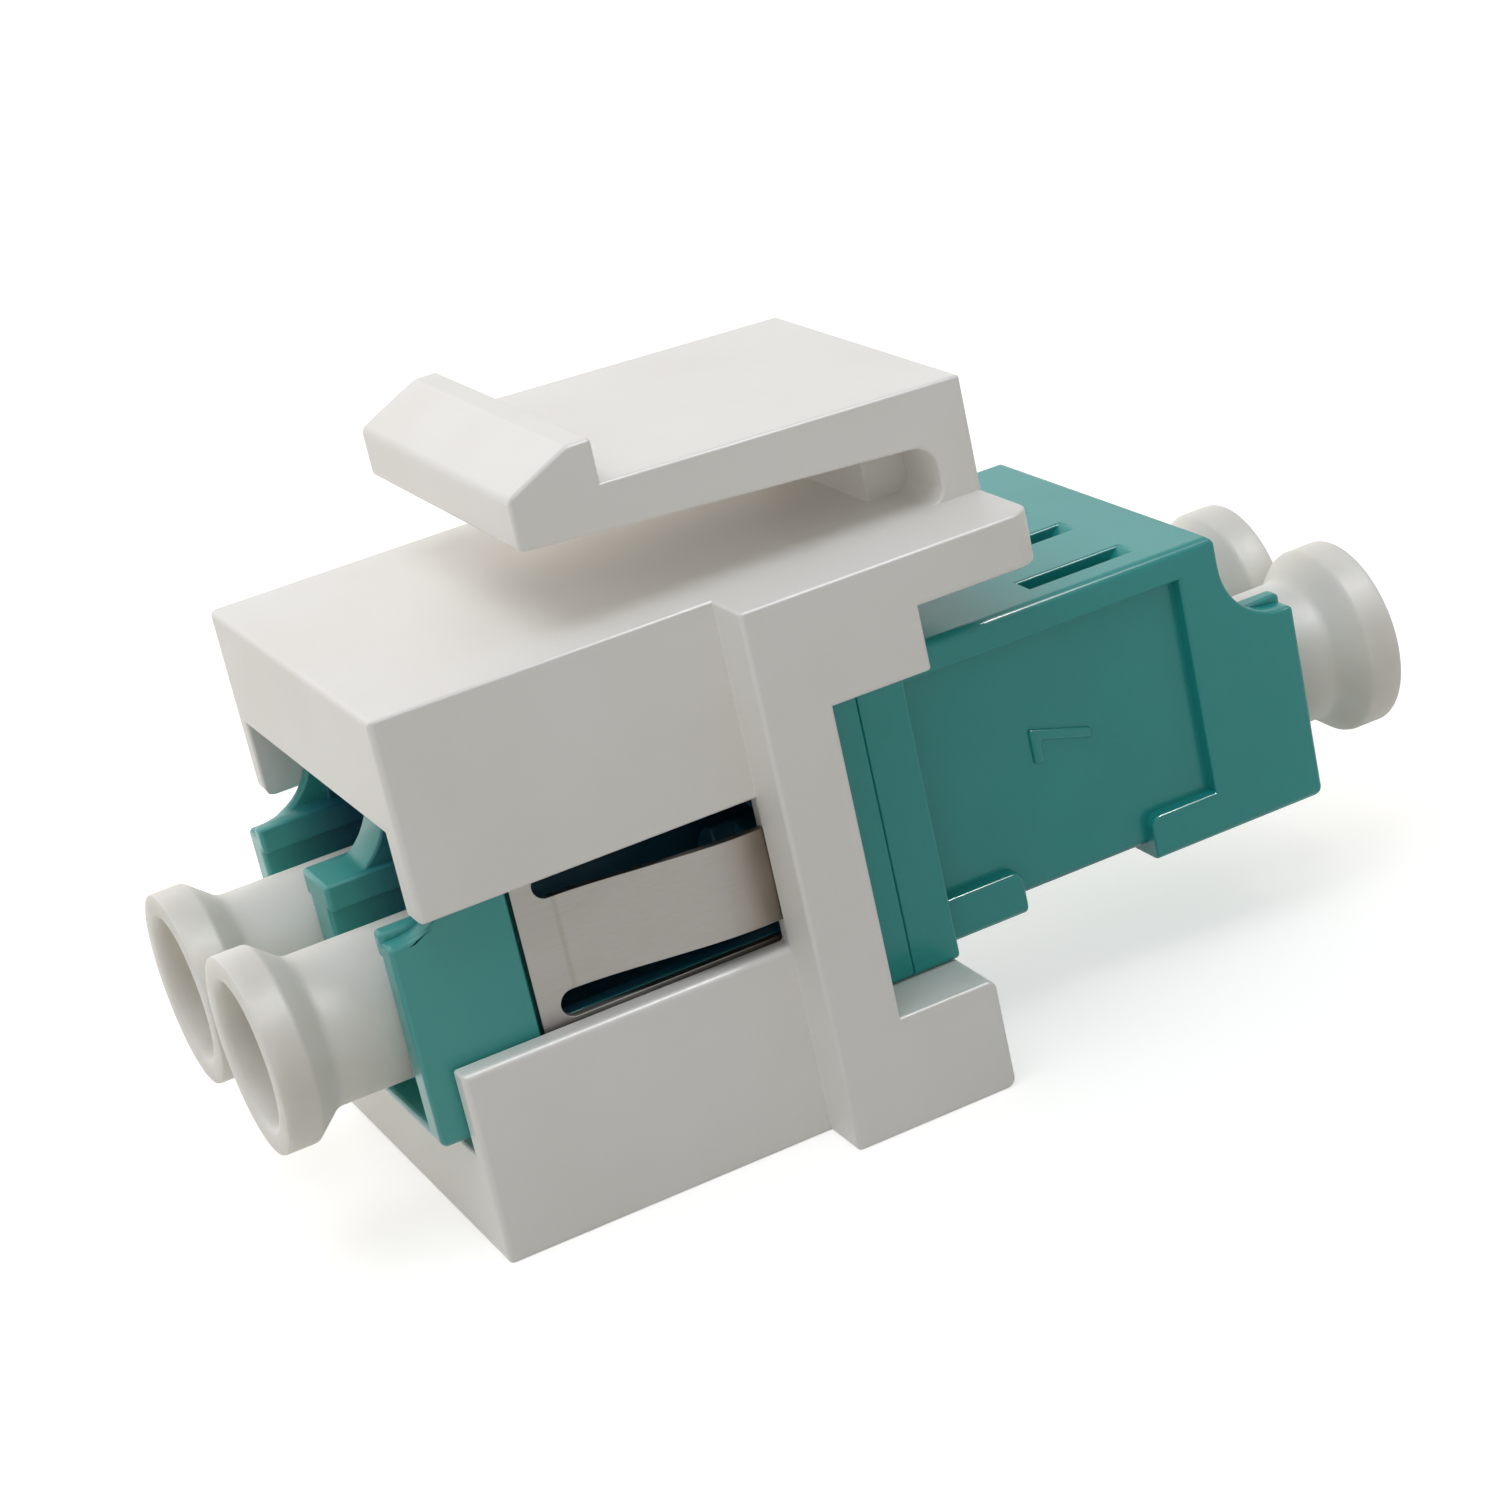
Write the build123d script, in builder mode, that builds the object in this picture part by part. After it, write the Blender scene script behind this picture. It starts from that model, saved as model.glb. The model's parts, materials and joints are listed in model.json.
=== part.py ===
# Duplex LC fibre adapter held in a keystone carrier, with four dust plugs in its ports.
# Millimetres. +Z is up, +Y runs from the panel side to the rear, +X is across both ports.
# The origin lies in the base plane, under the seam where the two housing halves meet.
import os
from math import radians, tan

from build123d import *

os.makedirs("parts", exist_ok=True)

# Ports, shared by the housing, the sleeves and the plugs
port_pitch = 6.25
port_width = 4.64
port_height = 4.6
port_side_wall = 1.005
port_floor_wall = 1.15
body_clearance = 0.05

# Keystone carrier
front_length = 10.38
front_wall = 0.75
carrier_height = 16.77
mouth_floor_gap = 0.42
mouth_roof_gap = 0.12
window_below_tongue = 2.34
window_above_tongue = 2.37
window_corner = 0.12
window_heel = 0.1
lip_depth = 0.65
lip_width = 0.35
shoulder_width = 18.18
bar_thickness = 2.15
foot_height = 3.5
extension_thickness = 1.58
extension_end = 5.65
extension_corner = 0.75
carrier_edge = 0.15
foot_edge = 0.3

# Latch, a springy tongue that stands over the roof
latch_width = 12.1
latch_post = 1.2
latch_rise = 3.48
latch_slope = 2.0
latch_root_thickness = 1.78
latch_middle_thickness = 1.52
latch_tip_thickness = 1.28
latch_length = 14.05
tooth_back = 11.3
tooth_flat = 0.75
tooth_height = 1.3
tooth_knee = 1.2
tooth_knee_drop = 0.2
tip_step = 0.35
root_web_width = 7.6
root_web_length = 1.4
web_overlap = 0.4
slot_top_corner = 0.75
slot_bottom_corner = 0.5
pivot_from_rear = 4.6
seam_radius = 1.6
seam_gap = 0.03
latch_edge = 0.12

# Adapter housing, two mouldings welded at the middle of the flange
body_height = 9.36
half_length = 14.95
weld_line = 0.02
flange_thickness = 3.12
flange_side = 0.6
flange_foot = 0.2
flange_crown = 0.16
flange_seat_gap = 0.02
flange_edge = 0.2
seam_groove = 0.03
middle_wall = 1.4
centre_wall = 1.64
channel_wall = 0.76
roof_wall = 0.8
rail_gap = 4.1
rail_height = 0.83
rail_wing = 0.06
mouth_edge = 0.15
latch_room_depth = 9.6
nose_depth = 2.3
nose_floor_rise = 0.58
nose_radius = 2.0
nose_wall = 0.45
nose_wall_length = 2.5
body_edge = 0.3
slit_spacing = 3.5
slit_width = 0.85
slit_start = 4.85
slit_length = 3.15
slit_ramp = 0.4
catch_length = 2.2
catch_drop = 1.1
catch_crest = 0.5
holder_radius = 1.45
holder_lip = 0.3
holder_catch = 0.04

# Recess round each housing half for the spring clip
recess_depth = 0.43
recess_start = 3.7
front_recess_start = 3.62
recess_sill = 1.43
recess_head = 0.98
recess_corner = 0.35
strap_start = 6.05
strap_end = 10.6
strap_corner = 0.3
window_start = 4.2
window_end = 11.9
mark_leg = 2.05
mark_fall = 0.62
mark_corner = 0.47
mark_drop = 1.15
mark_width = 0.36
mark_height = 0.12
mark_from_end = 9.35
mark_rise = 2.02

# Spring clip, one folded strip of stainless sheet
sheet = 0.3
clip_gap = 0.06
clip_end_gap = 0.12
clip_foot_gap = 0.18
clip_head_gap = 0.25
clip_corner = 0.35
strap_fillet = 0.5
tongue_lift = 1.19
tongue_width = 2.9
tongue_slot = 0.82
tongue_start = 4.42
tongue_root = 0.5
tongue_rise = 0.85
tongue_bow = 0.53
tongue_curl = 0.03
tongue_curl_length = 0.65
tongue_end_gap = 0.05

# Zirconia split sleeve and its play in the holder tube
sleeve_bore = 1.25
sleeve_wall = 0.195
sleeve_length = 6.8
sleeve_slit = 0.3
sleeve_play = 0.04
sleeve_float = 0.1

# Dust plug
plug_clearance = 0.02
plug_rim_radius = 3.0
plug_rim = 1.1
plug_cone = 0.75
plug_neck_out = 1.85
plug_neck_in = 4.1
plug_mouth_radius = 2.1
plug_bore_radius = 1.88
plug_mouth_depth = 0.9
plug_end_wall = 0.9
plug_lip = 0.25
plug_front_out = 0.25
plug_edge = 0.12

# Places that follow from the sizes above
foot_end = flange_thickness / 2 + flange_seat_gap
bar_rear = -foot_end
shoulder_front = bar_rear - bar_thickness
carrier_front = shoulder_front - front_length
port_x = port_pitch / 2
body_half = port_x + port_width / 2 + port_side_wall
channel_half = body_half + body_clearance
front_half_width = channel_half + front_wall
flange_bottom_z = foot_height + flange_seat_gap
body_bottom_z = flange_bottom_z + flange_foot
body_top_z = body_bottom_z + body_height
flange_top_z = body_top_z + flange_crown
block_under_z = flange_top_z + flange_seat_gap
extension_under_z = carrier_height - extension_thickness
mouth_floor_z = body_bottom_z - mouth_floor_gap
mouth_roof_z = body_top_z + mouth_roof_gap
port_top_z = body_bottom_z + port_floor_wall + port_height
port_centre_z = port_top_z - port_height / 2
nose_floor_z = port_top_z + nose_floor_rise
tongue_middle_z = port_centre_z + tongue_lift
window_bottom_z = tongue_middle_z - window_below_tongue
window_top_z = tongue_middle_z + window_above_tongue
recess_bottom_z = body_bottom_z + recess_sill
recess_top_z = body_top_z - recess_head
clip_bottom_z = recess_bottom_z + clip_foot_gap
clip_top_z = recess_top_z - clip_head_gap
latch_rear_z = carrier_height + latch_rise
recess_floor = body_half - recess_depth
recess_end = flange_thickness / 2
sleeve_radius = sleeve_bore / 2 + sleeve_wall
holder_bore = sleeve_radius + sleeve_play
holder_reach = sleeve_length / 2 + sleeve_float + holder_lip
latch_drop = tan(radians(latch_slope))
post_front = extension_end - latch_post
latch_tip = extension_end - latch_length
tooth_rear = extension_end - tooth_back
pivot_y = extension_end - pivot_from_rear


def latch_top(y):
    return latch_rear_z + (extension_end - y) * latch_drop


latch_middle = (post_front + latch_tip) / 2
root_under_z = latch_top(post_front) - latch_root_thickness
middle_under_z = latch_top(latch_middle) - latch_middle_thickness
tip_under_z = latch_top(latch_tip) - latch_tip_thickness
tooth_base_z = latch_top(tooth_rear)
pivot_z = latch_top(pivot_y) - latch_root_thickness / 2

# Whole latch tongue seen from the side; the seam arc divides it between carrier and arm
with BuildSketch(Plane.YZ) as tongue_side:
    with BuildLine():
        Polyline(
            (extension_end, carrier_height),
            (extension_end, latch_rear_z),
            (tooth_rear, tooth_base_z),
            (tooth_rear, tooth_base_z + tooth_height),
            (tooth_rear - tooth_flat, tooth_base_z + tooth_height),
            (tooth_rear - tooth_knee, tooth_base_z + tooth_height - tooth_knee_drop),
            (latch_tip, tooth_base_z + tip_step),
            (latch_tip, tip_under_z),
        )
        Spline((latch_tip, tip_under_z), (latch_middle, middle_under_z), (post_front, root_under_z))
        Polyline(
            (post_front, root_under_z),
            (post_front, carrier_height),
            (extension_end, carrier_height),
        )
    make_face()
    slot_roof = tongue_side.vertices().sort_by_distance((post_front, root_under_z, 0))[0]
    fillet(slot_roof, slot_top_corner)

with BuildSketch(Plane.YZ) as arm_side:
    with BuildLine():
        seam_bottom = (pivot_y, pivot_z - seam_radius)
        seam_top = (pivot_y, pivot_z + seam_radius)
        ThreePointArc(seam_bottom, (pivot_y + seam_radius, pivot_z), seam_top)
        Polyline(
            seam_top,
            (latch_tip - 1, pivot_z + 2 * seam_radius),
            (latch_tip - 1, pivot_z - 2 * seam_radius),
            seam_bottom,
        )
    make_face()

with BuildSketch(Plane.YZ) as socket_side:
    with BuildLine():
        socket_radius = seam_radius + seam_gap
        socket_bottom = (pivot_y, pivot_z - socket_radius)
        socket_top = (pivot_y, pivot_z + socket_radius)
        ThreePointArc(socket_bottom, (pivot_y + socket_radius, pivot_z), socket_top)
        Polyline(
            socket_top,
            (latch_tip - 1, pivot_z + 2 * seam_radius),
            (latch_tip - 1, pivot_z - 2 * seam_radius),
            socket_bottom,
        )
    make_face()

# Carrier: front sleeve, shoulder bar, foot, rear block and the latch root, one white moulding
with BuildPart() as keystone_carrier:
    with BuildSketch(Plane.XY):
        with Locations((0, carrier_front + front_length / 2)):
            Rectangle(2 * front_half_width, front_length)
    extrude(amount=carrier_height)
    front_face = keystone_carrier.faces().sort_by(Axis.Y)[0]
    fillet(front_face.edges(), carrier_edge)

    with BuildSketch(Plane.YZ):
        with BuildLine():
            Polyline(
                (shoulder_front, 0),
                (foot_end, 0),
                (foot_end, foot_height),
                (bar_rear, foot_height),
                (bar_rear, block_under_z),
                (foot_end, block_under_z),
                (foot_end, extension_under_z),
                (extension_end, extension_under_z),
                (extension_end, carrier_height),
                (shoulder_front, carrier_height),
                close=True,
            )
        make_face()
    extrude(amount=shoulder_width / 2, both=True)
    rear_corners = keystone_carrier.edges().filter_by(Axis.Z).group_by(Axis.Y)[-1]
    fillet(rear_corners, extension_corner)
    foot_rim = keystone_carrier.edges().filter_by(Axis.X)
    foot_rim = foot_rim.filter_by_position(Axis.Y, foot_end - 0.01, foot_end + 0.01)
    fillet(foot_rim.group_by(Axis.Z)[0] + foot_rim.group_by(Axis.Z)[1], foot_edge)
    shoulder_corners = keystone_carrier.edges().filter_by(Axis.Z)
    shoulder_corners = shoulder_corners.filter_by_position(
        Axis.Y, shoulder_front - 0.01, shoulder_front + 0.01
    )
    fillet(shoulder_corners.group_by(Axis.X)[0] + shoulder_corners.group_by(Axis.X)[-1], carrier_edge)

    # Opening through the sleeve and the bar, and the side windows for the clip's tongues
    opening_z = (mouth_floor_z + mouth_roof_z) / 2
    with BuildSketch(Plane.XZ.offset(-carrier_front)):
        with Locations((0, opening_z)):
            Rectangle(2 * channel_half, mouth_roof_z - mouth_floor_z)
    extrude(amount=carrier_front - bar_rear, mode=Mode.SUBTRACT)
    with BuildSketch(Plane.YZ) as side_window:
        window_length = front_length + window_heel
        with Locations((carrier_front + window_length / 2, (window_bottom_z + window_top_z) / 2)):
            Rectangle(window_length, window_top_z - window_bottom_z)
        rear_window_corners = side_window.vertices().group_by(Axis.X)[-1]
        fillet(rear_window_corners, window_corner)
    extrude(amount=front_half_width, both=True, mode=Mode.SUBTRACT)
    for side in (-1, 1):
        with BuildSketch(Plane.XY.offset(window_top_z)):
            lip_x = side * (channel_half - lip_width / 2)
            with Locations((lip_x, carrier_front + lip_depth / 2)):
                Rectangle(lip_width, lip_depth)
        extrude(amount=mouth_roof_z - window_top_z)

    # Rear post of the latch with its socket, and the web that stiffens the bend
    with BuildSketch(Plane.YZ):
        add(tongue_side.sketch_local)
        add(socket_side.sketch_local, mode=Mode.SUBTRACT)
    extrude(amount=latch_width / 2, both=True)
    with BuildSketch(Plane.XY.offset(carrier_height)):
        with Locations((0, post_front - root_web_length / 2)):
            Rectangle(root_web_width, root_web_length)
    extrude(amount=root_under_z - carrier_height + web_overlap)
    slot_foot = keystone_carrier.edges().filter_by(Axis.X)
    slot_foot = slot_foot.filter_by_position(Axis.Y, post_front - 0.01, post_front + 0.01)
    slot_foot = slot_foot.filter_by_position(Axis.Z, carrier_height - 0.01, carrier_height + 0.01)
    fillet(slot_foot, slot_bottom_corner)

keystone_carrier.part.label = "keystone_carrier"
export_step(keystone_carrier.part, "parts/keystone_carrier.step")

# Latch arm: a tapered tongue with the catch tooth near its tip
with BuildPart() as latch_arm:
    with BuildSketch(Plane.YZ):
        add(tongue_side.sketch_local)
        add(arm_side.sketch_local, mode=Mode.INTERSECT)
    extrude(amount=latch_width / 2, both=True)
    tooth_crest = latch_arm.edges().filter_by(Axis.X).group_by(Axis.Z)[-1].sort_by(Axis.Y)[0]
    fillet(tooth_crest, latch_edge)

latch_arm.part.label = "latch_arm"
export_step(latch_arm.part, "parts/latch_arm.step")

# One housing half, drawn with its port mouths towards -Y
mouth = -half_length
with BuildPart() as housing_half:
    with BuildSketch(Plane.YZ):
        with BuildLine():
            Polyline(
                (-weld_line / 2, body_bottom_z),
                (mouth, body_bottom_z),
                (mouth, nose_floor_z),
                (mouth + nose_depth, nose_floor_z),
                (mouth + nose_depth, body_top_z),
                (-weld_line / 2, body_top_z),
                close=True,
            )
        make_face()
    extrude(amount=body_half, both=True)
    nose_corner = housing_half.edges().filter_by(Axis.X)
    nose_corner = nose_corner.filter_by_position(Axis.Z, nose_floor_z - 0.01, nose_floor_z + 0.01)
    fillet(nose_corner.sort_by(Axis.Y)[-1], nose_radius)
    mouth_corners = housing_half.edges().filter_by(Axis.Z).group_by(Axis.Y)[0]
    fillet(mouth_corners, mouth_edge)
    long_edges = housing_half.edges().filter_by(Axis.Y)
    roof_front = housing_half.edges().filter_by(Axis.X).group_by(Axis.Z)[-1].sort_by(Axis.Y)[0]
    fillet(long_edges.group_by(Axis.Z)[-1] + long_edges.group_by(Axis.Z)[0] + roof_front, body_edge)

    # Clip recess down both sides, open underneath where the strap passes
    with BuildSketch(Plane.YZ) as recess_side:
        with BuildLine():
            Polyline(
                (mouth + recess_start, recess_top_z),
                (-recess_end, recess_top_z),
                (-recess_end, recess_bottom_z),
                (mouth + strap_end, recess_bottom_z),
                (mouth + strap_end, body_bottom_z),
                (mouth + strap_start, body_bottom_z),
                (mouth + strap_start, recess_bottom_z),
                (mouth + recess_start, recess_bottom_z),
                close=True,
            )
        make_face()
        step_corners = recess_side.vertices().filter_by_position(
            Axis.X, mouth + strap_start - 0.01, mouth + strap_end + 0.01
        )
        fillet(step_corners.group_by(Axis.Y)[-1], recess_corner)
    for side in (-1, 1):
        extrude(
            recess_side.sketch.moved(Location((side * recess_floor, 0, 0))),
            amount=side * body_half,
            mode=Mode.SUBTRACT,
        )
    with BuildSketch(Plane.XY.offset(body_bottom_z)):
        with Locations((0, mouth + (strap_start + strap_end) / 2)):
            Rectangle(2 * body_half, strap_end - strap_start)
    extrude(amount=recess_depth, mode=Mode.SUBTRACT)
    strap_edges = housing_half.edges().filter_by(Axis.Y)
    strap_edges = strap_edges.filter_by_position(
        Axis.Z, body_bottom_z + recess_depth - 0.01, body_bottom_z + recess_depth + 0.01
    )
    fillet(strap_edges.group_by(Axis.X)[0] + strap_edges.group_by(Axis.X)[-1], strap_corner)

    with BuildSketch(Plane.XZ.offset(weld_line / 2)):
        with Locations((0, (flange_bottom_z + flange_top_z) / 2)):
            RectangleRounded(2 * (body_half + flange_side), flange_top_z - flange_bottom_z, flange_edge)
    extrude(amount=(flange_thickness - weld_line) / 2)
    seam_face = housing_half.faces().filter_by(Axis.Y).sort_by(Axis.Y)[-1]
    chamfer(seam_face.outer_wire().edges(), seam_groove)

    # Port cavities with the rails that guide a connector, and the room for its latch above them
    cavity_depth = half_length - middle_wall
    room_top_z = body_top_z - roof_wall
    rail_z = port_top_z + rail_height
    for side in (-1, 1):
        with BuildSketch(Plane.XZ.offset(half_length)):
            with Locations((side * port_x, port_centre_z)):
                Rectangle(port_width, port_height)
        extrude(amount=-cavity_depth, mode=Mode.SUBTRACT)
        with BuildSketch(Plane.XZ.offset(half_length)):
            with BuildLine():
                Polyline(
                    (side * (port_x - rail_gap / 2), port_top_z),
                    (side * (port_x - rail_gap / 2), rail_z),
                    (side * centre_wall / 2, rail_z),
                    (side * centre_wall / 2, room_top_z),
                    (side * (body_half - channel_wall), room_top_z),
                    (side * (body_half - channel_wall), rail_z),
                    (side * (port_x + rail_gap / 2), rail_z),
                    (side * (port_x + rail_gap / 2), port_top_z),
                    close=True,
                )
            make_face()
        extrude(amount=-latch_room_depth, mode=Mode.SUBTRACT)
        with BuildSketch(Plane.XZ.offset(half_length)):
            relief_x = body_half - (channel_wall + nose_wall) / 2
            with Locations((side * relief_x, (rail_z + room_top_z) / 2)):
                Rectangle(channel_wall - nose_wall, room_top_z - rail_z)
        extrude(amount=-nose_wall_length, mode=Mode.SUBTRACT)

    # Rail ends, standing up above the ledge of the nose
    rail_inner_x = port_x + rail_gap / 2
    rail_outer_x = body_half - channel_wall + rail_wing
    with BuildSketch(Plane.XZ.offset(half_length)):
        with Locations((0, (port_top_z + rail_z) / 2)):
            Rectangle(port_pitch - rail_gap, rail_height)
        for side in (-1, 1):
            with Locations((side * (rail_inner_x + rail_outer_x) / 2, (port_top_z + rail_z) / 2)):
                Rectangle(rail_outer_x - rail_inner_x, rail_height)
    extrude(amount=-nose_depth)

    # Catches that hold a connector's latch, each with a slit through the roof behind it
    catch_face = mouth + slit_start
    near_slit = port_x - slit_spacing / 2
    far_slit = port_x + slit_spacing / 2
    for slit_x in (-far_slit, -near_slit, near_slit, far_slit):
        with BuildSketch(Plane.YZ.offset(slit_x)):
            with BuildLine():
                Polyline(
                    (catch_face - catch_length, room_top_z),
                    (catch_face, room_top_z),
                    (catch_face, room_top_z - catch_drop),
                    (catch_face - catch_crest, room_top_z - catch_drop),
                    close=True,
                )
            make_face()
        extrude(amount=slit_width / 2, both=True)
        with BuildSketch(Plane.YZ.offset(slit_x)):
            with BuildLine():
                Polyline(
                    (catch_face, room_top_z - catch_drop),
                    (catch_face + slit_length, room_top_z - catch_drop),
                    (catch_face + slit_length, body_top_z),
                    (catch_face - slit_ramp, body_top_z),
                    (catch_face, body_top_z - slit_ramp),
                    close=True,
                )
            make_face()
        extrude(amount=slit_width / 2, both=True, mode=Mode.SUBTRACT)

    # Holder tubes for the sleeves
    for side in (-1, 1):
        with BuildSketch(Plane.XZ.offset(middle_wall / 2)):
            with Locations((side * port_x, port_centre_z)):
                Circle(holder_radius)
        extrude(amount=holder_reach - middle_wall / 2)
        with BuildSketch(Plane.XZ):
            with Locations((side * port_x, port_centre_z)):
                Circle(holder_bore)
        extrude(amount=holder_reach - holder_lip, mode=Mode.SUBTRACT)
        with BuildSketch(Plane.XZ):
            with Locations((side * port_x, port_centre_z)):
                Circle(sleeve_radius - holder_catch)
        extrude(amount=holder_reach, mode=Mode.SUBTRACT)

# Front half: a slightly longer recess, and windows behind the clip's tongues
window_height = tongue_width + 2 * tongue_slot
with BuildPart() as adapter_front_half:
    add(housing_half.part)
    for side in (-1, 1):
        with BuildSketch(Plane.YZ.offset(side * recess_floor)):
            extra_y = mouth + (front_recess_start + recess_start) / 2
            with Locations((extra_y, (recess_bottom_z + recess_top_z) / 2)):
                Rectangle(recess_start - front_recess_start, recess_top_z - recess_bottom_z)
        extrude(amount=side * recess_depth, mode=Mode.SUBTRACT)
        with BuildSketch(Plane.YZ.offset(side * recess_floor)):
            with Locations((mouth + (window_start + window_end) / 2, tongue_middle_z)):
                Rectangle(window_end - window_start, window_height)
        extrude(amount=-side * (recess_floor - port_x), mode=Mode.SUBTRACT)

adapter_front_half.part.label = "adapter_front_half"
export_step(adapter_front_half.part, "parts/adapter_front_half.step")

# Rear half: the same moulding turned round, with a small raised angle mark in each recess
with BuildPart() as adapter_rear_half:
    add(housing_half.part.mirror(Plane.XZ))
    mark_y = half_length - mark_from_end
    mark_top_z = port_centre_z + mark_rise
    for side in (-1, 1):
        with BuildSketch(Plane.YZ.offset(side * recess_floor)):
            with BuildLine():
                Polyline(
                    (mark_y, mark_top_z),
                    (mark_y + mark_leg, mark_top_z - mark_fall),
                    (mark_y + mark_leg, mark_top_z - mark_fall - mark_width),
                    (mark_y + mark_width, mark_top_z - mark_corner),
                    (mark_y + mark_width, mark_top_z - mark_drop),
                    (mark_y, mark_top_z - mark_drop),
                    close=True,
                )
            make_face()
        extrude(amount=side * mark_height)

adapter_rear_half.part.label = "adapter_rear_half"
export_step(adapter_rear_half.part, "parts/adapter_rear_half.step")

# Spring clip: a strap under the housing, two side plates and a sprung tongue in each
clip_inner = recess_floor + clip_gap
clip_outer = clip_inner + sheet
strap_top_z = body_bottom_z + recess_depth - clip_gap
plate_front = mouth + front_recess_start + clip_end_gap
plate_rear = -recess_end - clip_end_gap
bend_inside = strap_corner + clip_gap
strap_length = strap_end - strap_start - 2 * clip_end_gap
strap_middle = mouth + (strap_start + strap_end) / 2
tongue_front = mouth + tongue_start
tongue_crease = tongue_front + tongue_root
tongue_end = shoulder_front + window_heel - tongue_end_gap
with BuildPart() as spring_clip:
    with BuildSketch(Plane.XZ.offset(-strap_middle)):
        with BuildLine():
            FilletPolyline(
                (-clip_outer, clip_bottom_z + strap_fillet),
                (-clip_outer, strap_top_z - sheet),
                (clip_outer, strap_top_z - sheet),
                (clip_outer, clip_bottom_z + strap_fillet),
                radius=bend_inside + sheet,
            )
            Line((clip_outer, clip_bottom_z + strap_fillet), (clip_inner, clip_bottom_z + strap_fillet))
            FilletPolyline(
                (clip_inner, clip_bottom_z + strap_fillet),
                (clip_inner, strap_top_z),
                (-clip_inner, strap_top_z),
                (-clip_inner, clip_bottom_z + strap_fillet),
                radius=bend_inside,
            )
            Line((-clip_inner, clip_bottom_z + strap_fillet), (-clip_outer, clip_bottom_z + strap_fillet))
        make_face()
    extrude(amount=strap_length / 2, both=True)
    for side in (-1, 1):
        with BuildSketch(Plane.YZ.offset(side * clip_inner)) as plate:
            plate_length = plate_rear - plate_front
            with Locations(((plate_front + plate_rear) / 2, (clip_bottom_z + clip_top_z) / 2)):
                RectangleRounded(plate_length, clip_top_z - clip_bottom_z, clip_corner)
            slot_length = plate_rear - tongue_front + tongue_slot
            slot_middle = tongue_front + slot_length / 2
            with Locations((slot_middle, tongue_middle_z)):
                with GridLocations(1, tongue_width + tongue_slot, 1, 2):
                    SlotOverall(slot_length, tongue_slot, mode=Mode.SUBTRACT)
            with Locations(((tongue_crease + plate_rear) / 2, tongue_middle_z)):
                gap_height = tongue_width + tongue_slot
                Rectangle(plate_rear - tongue_crease, gap_height, mode=Mode.SUBTRACT)
        extrude(amount=side * sheet)
        with BuildSketch(Plane.XY.offset(tongue_middle_z)):
            with BuildLine():
                bow_y = (tongue_crease + tongue_end) / 2
                crest_y = tongue_end - tongue_curl_length
                inner_x = side * clip_inner
                bow_x = side * (clip_inner + tongue_bow)
                crest_x = side * (clip_inner + tongue_rise)
                end_x = side * (clip_inner + tongue_rise - tongue_curl)
                skin = side * sheet
                root_y = tongue_crease - sheet
                Line((inner_x, root_y), (inner_x, tongue_crease))
                Spline((inner_x, tongue_crease), (bow_x, bow_y), (crest_x, crest_y), (end_x, tongue_end))
                Line((end_x, tongue_end), (end_x + skin, tongue_end))
                Spline(
                    (end_x + skin, tongue_end),
                    (crest_x + skin, crest_y),
                    (bow_x + skin, bow_y),
                    (inner_x + skin, tongue_crease),
                )
                Line((inner_x + skin, tongue_crease), (inner_x + skin, root_y))
                Line((inner_x + skin, root_y), (inner_x, root_y))
            make_face()
        extrude(amount=tongue_width / 2, both=True)
    plate_roots = spring_clip.edges().filter_by(Axis.X)
    plate_roots = plate_roots.filter_by_position(Axis.Z, clip_bottom_z - 0.01, clip_bottom_z + 0.01)
    plate_roots = plate_roots.filter_by_position(
        Axis.Y, strap_middle - strap_length / 2 - 0.01, strap_middle + strap_length / 2 + 0.01
    )
    fillet(plate_roots, strap_fillet)

spring_clip.part.label = "spring_clip"
export_step(spring_clip.part, "parts/spring_clip.step")

# Split sleeves in the holder tubes, their slits upwards
for name, side in (("sleeve_left", -1), ("sleeve_right", 1)):
    with BuildPart() as sleeve:
        with BuildSketch(Plane.XZ):
            with Locations((side * port_x, port_centre_z)):
                Circle(sleeve_radius)
                Circle(sleeve_bore / 2, mode=Mode.SUBTRACT)
            with Locations((side * port_x, port_centre_z + sleeve_radius / 2)):
                Rectangle(sleeve_slit, sleeve_radius, mode=Mode.SUBTRACT)
        extrude(amount=sleeve_length / 2, both=True)
    sleeve.part.label = name
    export_step(sleeve.part, "parts/" + name + ".step")

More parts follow.
